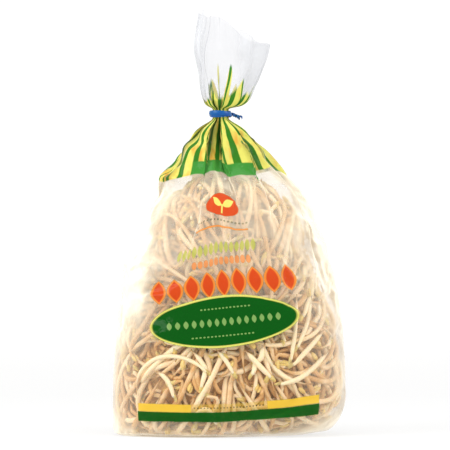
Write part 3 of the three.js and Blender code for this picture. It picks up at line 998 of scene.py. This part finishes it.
def wrinkled(points, heights, faceSets, material):     # the film let go over the sprouts as cloth
    own = filmSim
    film = addMesh("film_at_work", points, faceSets, material)
    skin, skinFaces = heapSkin(own["heapDepth"], 0)
    heap = addMesh("heap_at_work", skin, skinFaces, material)
    heap.modifiers.new("collision", "COLLISION")
    heap.collision.thickness_outer = own["gap"] * mm
    heap.collision.cloth_friction = own["friction"]
    footLow, footHigh = own["heldFoot"]
    neckLow, neckHigh = own["heldNeck"]
    foot = clamp01((footHigh - heights) / (footHigh - footLow))
    neck = clamp01((heights - neckLow) / (neckHigh - neckLow))
    neck -= (1 - own["tailHold"]) * rising(heights, *own["tailLoose"])
    growLow, growHigh = own["growthFoot"]
    topLow, topHigh = own["growthTop"]
    grown = own["growthLow"] + (1 - own["growthLow"]) * ease((heights - growLow) / (growHigh - growLow))
    grown *= clamp01(heights / own["growthGround"])
    grown *= clamp01((topHigh - heights) / (topHigh - topLow)) + rising(heights, *own["growthTail"])
    cloth = film.modifiers.new("cloth", "CLOTH")
    thin = cloth.settings
    for name, value in own["stuff"].items():
        setattr(thin, name, value)
    thin.vertex_group_mass = groupOf(film, "held", np.maximum(foot, neck))
    thin.vertex_group_shrink = groupOf(film, "kept", 1 - clamp01(grown))
    thin.shrink_min = -own["growth"]
    thin.effector_weights.gravity = own["gravity"]
    cloth.collision_settings.distance_min = own["gap"] * mm
    cloth.collision_settings.collision_quality = 3
    cloth.point_cache.frame_end = own["frames"]
    for step in range(1, own["frames"] + 1):
        bpy.context.scene.frame_set(step)
    done = film.evaluated_get(bpy.context.evaluated_depsgraph_get()).to_mesh()
    moved = np.zeros(len(points) * 3)
    done.vertices.foreach_get("co", moved)
    bpy.data.objects.remove(film)
    bpy.data.objects.remove(heap)
    bpy.context.scene.frame_set(1)
    moved = moved.reshape(-1, 3) / mm
    moved[:, 2] = np.maximum(moved[:, 2], 0)
    body = heights < neckLow                       # what swells past the bag's size is held back
    lean = stationAt(moved[:, 2], 3)
    turn = np.arctan2(moved[:, 1], moved[:, 0] - lean)
    reach = np.hypot(moved[:, 0] - lean, moved[:, 1])
    most = bodyRadius(turn, moved[:, 2], filmLook["inset"])
    over = np.maximum(reach - most, 0)
    kept = most + own["swell"] * np.tanh(over / own["swell"])
    held = np.where(body & (over > 0), kept / np.maximum(reach, 1), 1)
    moved[:, 0] = lean + (moved[:, 0] - lean) * held
    moved[:, 1] *= held
    return moved


def drawnWide(film):                           # the film's sides are drawn out to the bag's own width
    z = film[:, :, 2].mean(axis=1)
    lean = stationAt(z, 3)[:, None]
    own = filmLook
    halfWidth = bagShape["halfWidth"] * stationAt(z, 1) - own["inset"]
    belowTie = bagShape["neckHeight"] - own["drawnTop"] - z
    ends = rising(z, *own["drawnFoot"]) * ease(belowTie / own["drawnTop"])
    for side in (-1, 1):
        aside = side * (film[:, :, 0] - lean)
        pull = np.clip(halfWidth / np.maximum(aside.max(axis=1), 1), 1, own["drawnMost"])
        pull = np.convolve(np.pad((pull - 1) * ends, 4, "edge"), np.ones(9) / 9, "valid")[:, None]
        film[:, :, 0] += np.where(aside > 0, side * aside * pull, 0)
    loose = rising(z, *own["tailSmoothed"])[:, None, None] * 0.5
    for _ in range(own["tailSmoothing"]):          # the stiff film above the tie has no small creases
        beside = (np.roll(film, 1, axis=1) + np.roll(film, -1, axis=1)) / 2
        film += (beside - film) * loose
        above = (film[:-2] + film[2:]) / 2
        film[1:-1] += (above - film[1:-1]) * loose[1:-1]
    return film


def aroundFrom(u):                             # millimetres round the film, from the front's middle
    closed = np.append(u, u[0] + 2 * math.pi)
    reach = bodyRadius(closed, np.full(len(closed), float(skirtLook["girthAt"])))
    ring = np.stack([reach * np.cos(closed), reach * np.sin(closed)], axis=-1)
    around = np.append(0, np.cumsum(np.linalg.norm(np.diff(ring, axis=0), axis=1)))
    return around - around[len(u) // 2]


def foldedIn(u, z):                            # where the film lies tucked behind itself: there its ink gets painted shade
    own = filmLook
    _, within, _, grown = foldsAt(np.broadcast_to(u, z.shape), z)
    valley = bump(u, own["valleyAt"], own["valleyWide"]) * rising(z, *own["foldedFront"])
    return np.maximum(within * grown, valley) * (1 - rising(z, *own["foldedEnd"]))


def printHeights(u, around, heights):          # the print's own height at each point of the film
    own = skirtLook
    slip = 1.5 * np.sin(8 * u)
    for middle, halfWidth, drop in own["dips"]:
        slip += drop * bump(around[:-1], middle, halfWidth)
    tall = heights + slip * rising(heights, *own["slipping"])
    across = np.cos(u) * np.where(np.sin(u) < 0, 1, -1)
    edge = np.full(len(u), float(own["tuftFoot"]))
    for middle, halfWidth, rise in own["tufts"]:
        edge = np.maximum(edge, own["tuftFoot"] + rise * np.exp(-((across - middle) / halfWidth) ** 4))
    edge += 2.2 * np.sin(29 * u) + 1.5 * np.sin(17 * u)
    return tall + (own["top"] - edge) * rising(heights, *own["tuftBlend"])


def addFilm(material):
    rows, heights, u = filmPoints()
    count, columns = heights.shape
    quads = gridQuads(count, columns)
    points = np.concatenate([rows.reshape(-1, 3), rows[0].mean(axis=0)[None]])
    fan = fanTriangles(len(points) - 1, 0, columns, turned=True)
    points = wrinkled(points, np.append(heights.ravel(), 0), [quads, fan], material)
    sunk = points[:-1, 2].reshape(count, columns) - rows[:, :, 2]
    heights = heights + sunk.mean(axis=1)[:, None]         # the print stays at its own height
    points[:-1] = drawnWide(points[:-1].reshape(count, columns, 3)).reshape(-1, 3)
    piece = addMesh("bag_film_printed", points, [quads, fan], material)
    # how deep in a fold each point lies, for the painted shade on the ink
    addShade(piece, "folded", np.append(foldedIn(u, rows[:, :, 2]).ravel(), 0))
    finer = piece.modifiers.new("finer", "SUBSURF")
    finer.levels = finer.render_levels = 1
    around = aroundFrom(u)
    tall = printHeights(u, around, heights)
    tall = np.concatenate([tall, tall[:, :1]], axis=1)
    flat = np.stack([np.broadcast_to(around, tall.shape), tall], axis=-1)
    corners = np.stack([flat[:-1, :-1], flat[:-1, 1:], flat[1:, 1:], flat[1:, :-1]], axis=2)
    layer = piece.data.uv_layers.new(name="print")
    layer.data.foreach_set("uv", np.append(corners * mm, np.zeros(columns * 3 * 2)))
    finished(piece, "bag_film")
    print(f"film: {8 * len(quads) + 6 * len(fan)} triangles, {around[-1] - around[0]:.0f} mm round")


filmColours = {name: linearOf(colour) for name, colour in {
    "green": "#03550D",
    "greenHem": "#3B8C35",
    "greenDark": "#30781C",
    "greenPale": "#7EA65A",
    "yellow": "#DED968",
    # the deeper orange that the yellow turns in random patches
    "yellowOrangePatch": "#DDAA44",
    "yellowDeep": "#E6C040",
    "yellowPale": "#DEDA6C",
    "orange": "#E28430",
    "red": "#CC4410",
    "leafGreen": "#B2B93C",
    "olive": "#5A5A36",
    # painted shade: the dark colour the ink takes deep in the folds
    "folded": "#1C300A",
    "haze": "#F4E8D0",
    # painted shade: the tail's haze is grey, so it stands off the white backdrop
    "hazeTailShade": "#C9CACD",
    "clear": "#FAFAFB",
    "clearEdge": "#C9CACF",
}.items()}

skirtLook = {                    # millimetres on the film; the front's middle and the ground are 0
    "girthAt": 60,               # the height at which lengths round the film are measured
    "pitch": 9.2,
    "yellowShare": 0.6,
    "foot": 182,                 # lower edge of the striped skirt
    "top": 256,
    "slipping": (120, 60),       # the film slips down at the dips from this height, over this much
    "dips": [(-78, 20, 6), (36, 9, 7), (72, 18, -11), (-40, 14, 2)],   # where, half width, how much lower
    "hem": 8.6,                  # height of the green hem at the skirt's foot
    "hemMiddle": -7,
    "hemHalf": 50,
    "tuftFoot": 233,             # the stripes end just above the tie, but for a few tufts
    "tuftBlend": (229, 5),
    "tufts": [(-0.5, 0.2, 10), (0.2, 0.08, 27), (0.5, 0.16, 13)],      # where, half width, how much taller
}

printedShapes = [
    # shape, middle in X and Z, half width and height, tilt in degrees, sag per mm, how many in the row,
    # where its edge is, colour and how much it covers
    ("leaf", (-10.4, 129), (33, 4.6), 5.5, 0, 15, 0.85, "leafGreen", 0.7),
    ("dot", (-5.2, 120.4), (24, 3.2), 5.5, 0, 11, 0.85, "orange", 0.7),
    ("leaf", (-4.1, 106), (54.5, 9), 6.8, 0, 9, 0.98, "orange", 0.95),
    ("leaf", (-4.1, 106), (54.5, 9), 6.8, 0, 9, 0.68, "red", 0.97),
    ("dot", (-4.5, 80.8), (54.5, 17.3), 5.5, 0, 1, 1.0, "yellowPale", 0.97),
    ("dot", (-4.5, 80.8), (53, 15.9), 5.5, 0, 1, 1.0, "green", 1.0),
    ("leaf", (-4.5, 80.8), (43, 3.5), 5.5, 0, 15, 0.6, "greenPale", 0.7),
    ("dot", (-3.5, 90), (20, 0.9), 5.5, 0, 14, 0.6, "greenPale", 0.5),
    ("dot", (-5.5, 71.4), (24, 0.9), 5.5, 0, 17, 0.6, "greenPale", 0.5),
    ("bar", (-0.7, 15.7), (65, 3.4), 2.5, 0.0004, 1, 1.0, "green", 0.98),
    ("bar", (-0.7, 22), (65, 2.7), 2.5, 0.0004, 1, 1.0, "yellowDeep", 0.35),
    ("bar", (-46, 20.6), (19, 2.7), 0.4, 0.0004, 1, 1.0, "yellowDeep", 0.95),
    ("bar", (45, 24.8), (19, 2.7), 4.6, 0.0004, 1, 1.0, "yellowDeep", 0.95),
    ("dot", (-0.7, 22), (25, 1.0), 2.5, 0.0004, 22, 0.55, "olive", 0.75),
    ("dot", (-8, 159.5), (16.5, 7.8), 0, 0, 1, 1.0, "red", 0.95),
    ("leaf", (-13.4, 161.4), (2.6, 5.8), 62, 0, 1, 1.0, "yellowPale", 0.9),
    ("leaf", (-2.6, 161.4), (2.6, 5.8), -62, 0, 1, 1.0, "yellowPale", 0.9),
    ("bar", (-8, 156.4), (0.8, 3.2), 0, 0, 1, 1.0, "yellowPale", 0.9),
    ("bar", (-8, 148.5), (24, 1.1), 0, 0, 15, 0.62, "olive", 0.6),
    ("bar", (-7, 144), (23, 0.7), 2, -0.003, 1, 1.0, "orange", 0.85),
]


def reachOf(add, shape, place):                # how far out in a shape a place is: 1 at the shape's edge
    if shape == "dot":
        return add("VectorMath", {0: place}, operation="LENGTH")
    axes = add("SeparateXYZ", {0: add("VectorMath", {0: place}, operation="ABSOLUTE")})
    along = add("Math", {0: axes.outputs[1], 1: 2.0}, operation="POWER")     # a pointed leaf
    return add("Math", {0: axes.outputs[0], 1: along}, operation="ADD")


def inkWithin(add, reach, edge, soft):         # full cover where the reach is under the edge
    return add("MapRange", {"Value": reach, "From Min": edge + soft, "From Max": edge - soft})


def printedShape(add, u, v, row):              # where one row of the table covers the film
    shape, (x, z), (halfWide, halfTall), tilt, sag, repeats, edge, _, _ = row
    aside = add("Math", {0: u, 1: x * mm}, operation="SUBTRACT")
    square = add("Math", {0: aside, 1: aside}, operation="MULTIPLY")
    level = add("Math", {0: square, 1: -sag / mm, 2: v}, operation="MULTIPLY_ADD")
    place = add("Mapping", {
        "Vector": add("CombineXYZ", {0: aside, 1: level}),
        "Location": (0, z * mm, 0),
        "Rotation": (0, 0, math.radians(tilt)),
        "Scale": (halfWide * mm, halfTall * mm, 1),
    }, vector_type="TEXTURE")
    if repeats == 1 and shape != "bar":
        return inkWithin(add, reachOf(add, shape, place), edge, 0.25 / min(halfWide, halfTall))
    sizes = add("SeparateXYZ", {0: add("VectorMath", {0: place}, operation="ABSOLUTE")})
    withinEnds = inkWithin(add, sizes.outputs[0], 1.0, 0.3 / halfWide)
    withinSides = inkWithin(add, sizes.outputs[1], 1.0, 0.3 / halfTall)
    box = add("Math", {0: withinEnds, 1: withinSides}, operation="MULTIPLY")
    if repeats == 1:
        return box
    axes = add("SeparateXYZ", {0: place})
    run = add("Math", {0: axes.outputs[0], 1: repeats / 2, 2: repeats / 2}, operation="MULTIPLY_ADD")
    cell = add("Math", {0: run}, operation="FRACT")
    cell = add("Math", {0: cell, 1: 2.0, 2: -1.0}, operation="MULTIPLY_ADD")
    cell = add("CombineXYZ", {0: cell, 1: axes.outputs[1]})
    one = inkWithin(add, reachOf(add, shape, cell), edge, 0.06)
    return add("Math", {0: one, 1: box}, operation="MULTIPLY")


def stripedSkirt(add, u, v):                   # cover of the whole skirt, its yellow stripes and its hem
    own = skirtLook
    turns = add("Math", {0: u, 1: own["pitch"] * mm}, operation="DIVIDE")
    share = add("Math", {0: turns}, operation="FRACT")
    fromMiddle = add("Math", {0: share, 1: 0.5}, operation="SUBTRACT")
    fromMiddle = add("Math", {0: fromMiddle}, operation="ABSOLUTE")
    yellow = inkWithin(add, fromMiddle, own["yellowShare"] / 2, 0.02)
    foot = add("Math", {0: own["foot"] * mm, 1: v}, operation="SUBTRACT")
    aboveFoot = inkWithin(add, foot, 0.0, 0.4 * mm)
    belowTop = inkWithin(add, v, own["top"] * mm, 1.5 * mm)
    whole = add("Math", {0: aboveFoot, 1: belowTop}, operation="MULTIPLY")
    low = inkWithin(add, v, (own["foot"] + own["hem"]) * mm, 0.4 * mm)
    aside = add("Math", {0: u, 1: own["hemMiddle"] * mm}, operation="SUBTRACT")
    aside = add("Math", {0: aside}, operation="ABSOLUTE")
    near = inkWithin(add, aside, own["hemHalf"] * mm, 0.5 * mm)
    hem = add("Math", {0: low, 1: near}, operation="MULTIPLY")
    return whole, yellow, hem


filmShade = {
    "milkEdge": 4.5,             # how much milkier the film is where it is seen edge-on
    "inkGlow": 0.25,             # share of the light that comes through the ink
    "shineStraight": 0.006,      # what the film mirrors straight on
    "shineSlant": 0.7,
    "roughness": 0.14,
    "patchAt": (-72 * mm, 0, 112 * mm),
    "patchSize": (26 * mm, 1, 64 * mm),
}

filmMist = {                     # where each share of the mist starts and ends, and how much there is at both
    "high": (60 * mm, 140 * mm, 0.03, 0.27, "SMOOTHSTEP"),         # up where the film stands off the sprouts
    "aside": (30 * mm, 74 * mm, 0.0, 0.28, "SMOOTHSTEP"),          # and at the bag's sides
    "corners": (75 * mm, 135 * mm, 0.45, 1.0, "LINEAR"),           # but less in the corners that they fill
    "foot": (20 * mm, 5 * mm, 0.0, 0.16, "LINEAR"),                # low down, where the moisture runs to
    "patch": (1.1, 0.1, 0.0, 0.34, "SMOOTHSTEP"),                  # most at the left, with no sprouts behind
    "tail": (200 * mm, 240 * mm, 0.0, 1.0, "LINEAR"),              # the loose film has only what comes next
    "tailSidesShade": (8 * mm, 18 * mm, 0.14, 0.48, "SMOOTHSTEP"),      # more of the tail's grey haze towards its sides: painted shade on its broad facets
}


def mistOver(add, place):                      # how milky the film is, and how far it is the loose tail
    x, _, z = add("SeparateXYZ", {0: place}).outputs
    fromNeck = add("Math", {0: x, 1: bagShape["neckShift"] * mm}, operation="SUBTRACT")
    inPatch = add("Mapping", {
        "Vector": place,
        "Location": filmShade["patchAt"],
        "Scale": filmShade["patchSize"],
    }, vector_type="TEXTURE")
    measures = {
        "aside": add("Math", {0: x}, operation="ABSOLUTE"),
        "patch": add("VectorMath", {0: inPatch}, operation="LENGTH"),
        "tailSidesShade": add("Math", {0: fromNeck}, operation="ABSOLUTE"),
    }
    mist = {}
    for name, (start, end, least, most, way) in filmMist.items():
        mist[name] = add("MapRange", {
            "Value": measures.get(name, z),
            "From Min": start,
            "From Max": end,
            "To Min": least,
            "To Max": most,
        }, interpolation_type=way)
    body = mist["high"]
    atSides = add("Math", {0: mist["aside"], 1: mist["corners"]}, operation="MULTIPLY")
    for more in (atSides, mist["foot"], mist["patch"]):
        body = add("Math", {0: body, 1: more}, operation="ADD")
    return add("Mix", {0: mist["tail"], 2: body, 3: mist["tailSidesShade"]}), mist["tail"]


def inkColour(add, place, yellow, hem, shapes):        # the skirt's stripes, and the printed shapes over them
    patches = add("Mapping", {"Vector": place, "Scale": (1, 1, 0.3)})
    patches = add("TexNoise", {"Vector": patches, "Scale": 1 / (8 * mm), "Detail": 2.0})
    # the yellow turns deeper orange in random patches 8 mm wide, and painted shade darkens the ink where the
    # film folds in, where ink also lies behind ink
    thick = add("MapRange", {"Value": patches, "From Min": 0.5, "From Max": 0.68})
    yellows = add("Mix", {
        "Factor": thick,
        6: filmColours["yellow"],
        7: filmColours["yellowOrangePatch"],
    }, data_type="RGBA")
    # painted shade: deep in the folds the ink turns dark, where ink also lies behind ink
    folded = add("Attribute", attribute_name="folded").outputs["Fac"]
    doubledAndShaded = add("MapRange", {"Value": folded, "From Min": 0.45, "To Max": 0.85})
    layers = [(yellow, yellows), (hem, filmColours["greenHem"]), (doubledAndShaded, filmColours["folded"])]
    ink = filmColours["greenDark"]
    for share, colour in layers + shapes:
        ink = add("Mix", {"Factor": share, 6: ink, 7: colour}, data_type="RGBA")
    return ink


def printedFilmMaterial():     # blown polyethylene: clear and glossy, a little milky, printed from behind
    own, colours = filmShade, filmColours
    material, add = newMaterial("blownPolyethyleneFilm")
    place = add("NewGeometry")
    u, v, _ = add("SeparateXYZ", {0: add("UVMap", uv_map="print")}).outputs
    skirt, yellow, hem = stripedSkirt(add, u, v)
    cover = add("Math", {0: skirt, 1: 0.98}, operation="MULTIPLY")
    shapes = []
    for row in printedShapes:
        name, opacity = row[-2:]
        shape = printedShape(add, u, v, row)
        shapes.append((shape, colours[name]))
        shown = add("Math", {0: shape, 1: opacity}, operation="MULTIPLY")
        cover = add("Math", {0: cover, 1: shown}, operation="MAXIMUM")
    ink = inkColour(add, place, yellow, hem, shapes)
    # fine creases between the folds, and breath-like mist in patches a thumb wide
    creases = add("TexNoise", {"Vector": place, "Scale": 1 / (6 * mm), "Detail": 4.0, "Distortion": 0.8})
    cloud = add("TexNoise", {"Vector": place, "Scale": 1 / (22 * mm), "Detail": 3.0})
    relief = add("Bump", {"Height": creases, "Strength": 0.35, "Distance": 1.2 * mm})
    facing = add("LayerWeight", {"Blend": 0.5, "Normal": relief}).outputs["Facing"]
    edgeOn = add("Math", {0: facing, 1: 2.0}, operation="POWER")
    mist, loose = mistOver(add, place)
    uneven = add("MapRange", {"Value": cloud, "From Min": 0.3, "From Max": 0.7, "To Min": 0.7, "To Max": 1.3})
    mist = add("Math", {0: uneven, 1: mist}, operation="MULTIPLY")
    thicker = add("Math", {0: edgeOn, 1: own["milkEdge"], 2: 1.0}, operation="MULTIPLY_ADD")
    mist = add("Math", {0: mist, 1: thicker}, operation="MULTIPLY", use_clamp=True)
    # the tail's haze is grey: painted shade
    haze = add("Mix", {"Factor": loose, 6: colours["haze"], 7: colours["hazeTailShade"]}, data_type="RGBA")
    milky = add("BsdfPrincipled", {
        "Base Color": haze,
        "Roughness": 0.5,
        "Specular IOR Level": 0.0,
        "Normal": relief,
    })
    tint = add("Mix", {"Factor": edgeOn, 6: colours["clear"], 7: colours["clearEdge"]}, data_type="RGBA")
    film = add("MixShader", {0: mist, 1: add("BsdfTransparent", {"Color": tint}), 2: milky})
    glowing = add("BsdfTranslucent", {"Color": ink, "Normal": relief})
    matt = add("BsdfDiffuse", {"Color": ink, "Normal": relief})
    inked = add("MixShader", {0: own["inkGlow"], 1: matt, 2: glowing})
    printed = add("MixShader", {0: cover, 1: film, 2: inked})
    slant = add("Math", {0: facing, 1: 4.0}, operation="POWER")
    mirror = add("MapRange", {"Value": slant, "To Min": own["shineStraight"], "To Max": own["shineSlant"]})
    shine = add("BsdfGlossy", {"Color": linearOf("#FFFFFF"), "Roughness": own["roughness"], "Normal": relief})
    add("OutputMaterial", {"Surface": add("MixShader", {0: mirror, 1: printed, 2: shine})})
    return material


addFilm(printedFilmMaterial())
print("the film bag is in place")


tieLook = {
    "width": 3.4,
    "thickness": 0.9,
    "clearance": 0.4,
    "tilt": 0.1,
    "lapOffset": 0.55,
    "endsRoot": 1.5,             # from the neck's film to the middle of the two ends
    "endsTurn": 0.35,            # radians round towards the back
    "endsWay": np.array([0.62, 0.74, -0.25]),
    "endsLength": 11,
    "twists": 2.5,
    "sides": 16,
    "steps": 144,
    "blue": linearOf("#003090"),
    "teal": linearOf("#005F8C"),
}


def tieMaterial():             # wire in glossy blue plastic paper: bright along the ridge over the wire
    material, add = newMaterial("plasticCoatedTwistTie")
    shade = add("TexNoise", {"Vector": add("NewGeometry"), "Scale": 1 / (5 * mm), "Detail": 2.0})
    plastic = add("BsdfPrincipled", {
        "Base Color": add("Mix", {"Factor": shade, 6: tieLook["blue"], 7: tieLook["teal"]}, data_type="RGBA"),
        "Roughness": 0.34,
        "IOR": 1.45,
        "Specular IOR Level": 0.3,
    })
    add("OutputMaterial", {"Surface": plastic})
    return material


def ribbonSection():           # the tie's outline across: a flat strip, thicker over its wire
    own = tieLook
    turn = ringAngles(own["sides"])
    wide = own["width"] / 2 * np.sign(np.cos(turn)) * np.abs(np.cos(turn)) ** 0.6
    ridge = 0.35 + 0.65 * np.exp(-(wide / 0.6) ** 2)
    return wide, own["thickness"] / 2 * np.sin(turn) * ridge


def sweptRibbon(points, widths, faces, closed):        # a section carried along points
    wide, thick = ribbonSection()
    sides, count = len(wide), len(points)
    skin = points[:, None] + widths[:, None] * wide[:, None] + faces[:, None] * thick[:, None]
    quads = gridQuads(count + 1 if closed else count, sides)[:, ::-1] % (count * sides)
    caps = np.zeros((0, 3), dtype=int)
    skin = skin.reshape(-1, 3)
    if not closed:
        skin = np.concatenate([skin, points[:1], points[-1:]])
        first = fanTriangles(len(skin) - 2, 0, sides)
        end = fanTriangles(len(skin) - 1, (count - 1) * sides, sides, turned=True)
        caps = np.concatenate([first, end])
    return skin, quads, caps


def addTie():
    own, shape = tieLook, bagShape
    parts = []
    for lap, tilt in enumerate((own["tilt"], -own["tilt"])):
        u = ringAngles(own["steps"])
        reach = shape["neckRadius"] + own["clearance"] + (lap * own["lapOffset"] + 0.5) * own["thickness"]
        rise = shape["neckHeight"] + tilt * reach * np.sin(u + 0.6)
        points = xyz(shape["neckShift"] + reach * np.cos(u), reach * np.sin(u), rise)
        outward = xyz(np.cos(u), np.sin(u), 0 * u)
        parts.append(sweptRibbon(points, np.tile([0.0, 0.0, 1.0], (len(u), 1)), outward, True))
    reach, turn = shape["neckRadius"] + own["endsRoot"], own["endsTurn"]
    start = xyz(shape["neckShift"] + reach * math.cos(turn), reach * math.sin(turn), shape["neckHeight"])
    way = unit(own["endsWay"])
    across = unit(np.cross(way, [0, 0, 1]))
    up = np.cross(way, across)
    for side in (-1, 1):                               # the two ends, wound round each other
        share = np.linspace(0, 1, 60)
        twist = math.pi * own["twists"] * share
        splay = 0.55 + 0.8 * ease((share - 0.75) / 0.25)
        aside = across * np.cos(twist)[:, None] + up * np.sin(twist)[:, None]
        face = up * np.cos(twist)[:, None] - across * np.sin(twist)[:, None]
        points = start + way * (own["endsLength"] * share)[:, None] + face * (side * splay)[:, None]
        parts.append(sweptRibbon(points, aside * 0.8, face, False))
    points, quads, caps, start = [], [], [], 0
    for skin, four, three in parts:
        points.append(skin)
        quads.append(four + start)
        caps.append(three + start)
        start += len(skin)
    piece = addMesh("twist_tie_wound", np.concatenate(points), [np.concatenate(quads), np.concatenate(caps)],
                    tieMaterial())
    finished(piece, "twist_tie")


addTie()
print("the twist tie is in place")

bpy.context.scene.view_settings.view_transform = "Standard"
bpy.context.scene.cycles.transparent_max_bounces = 40
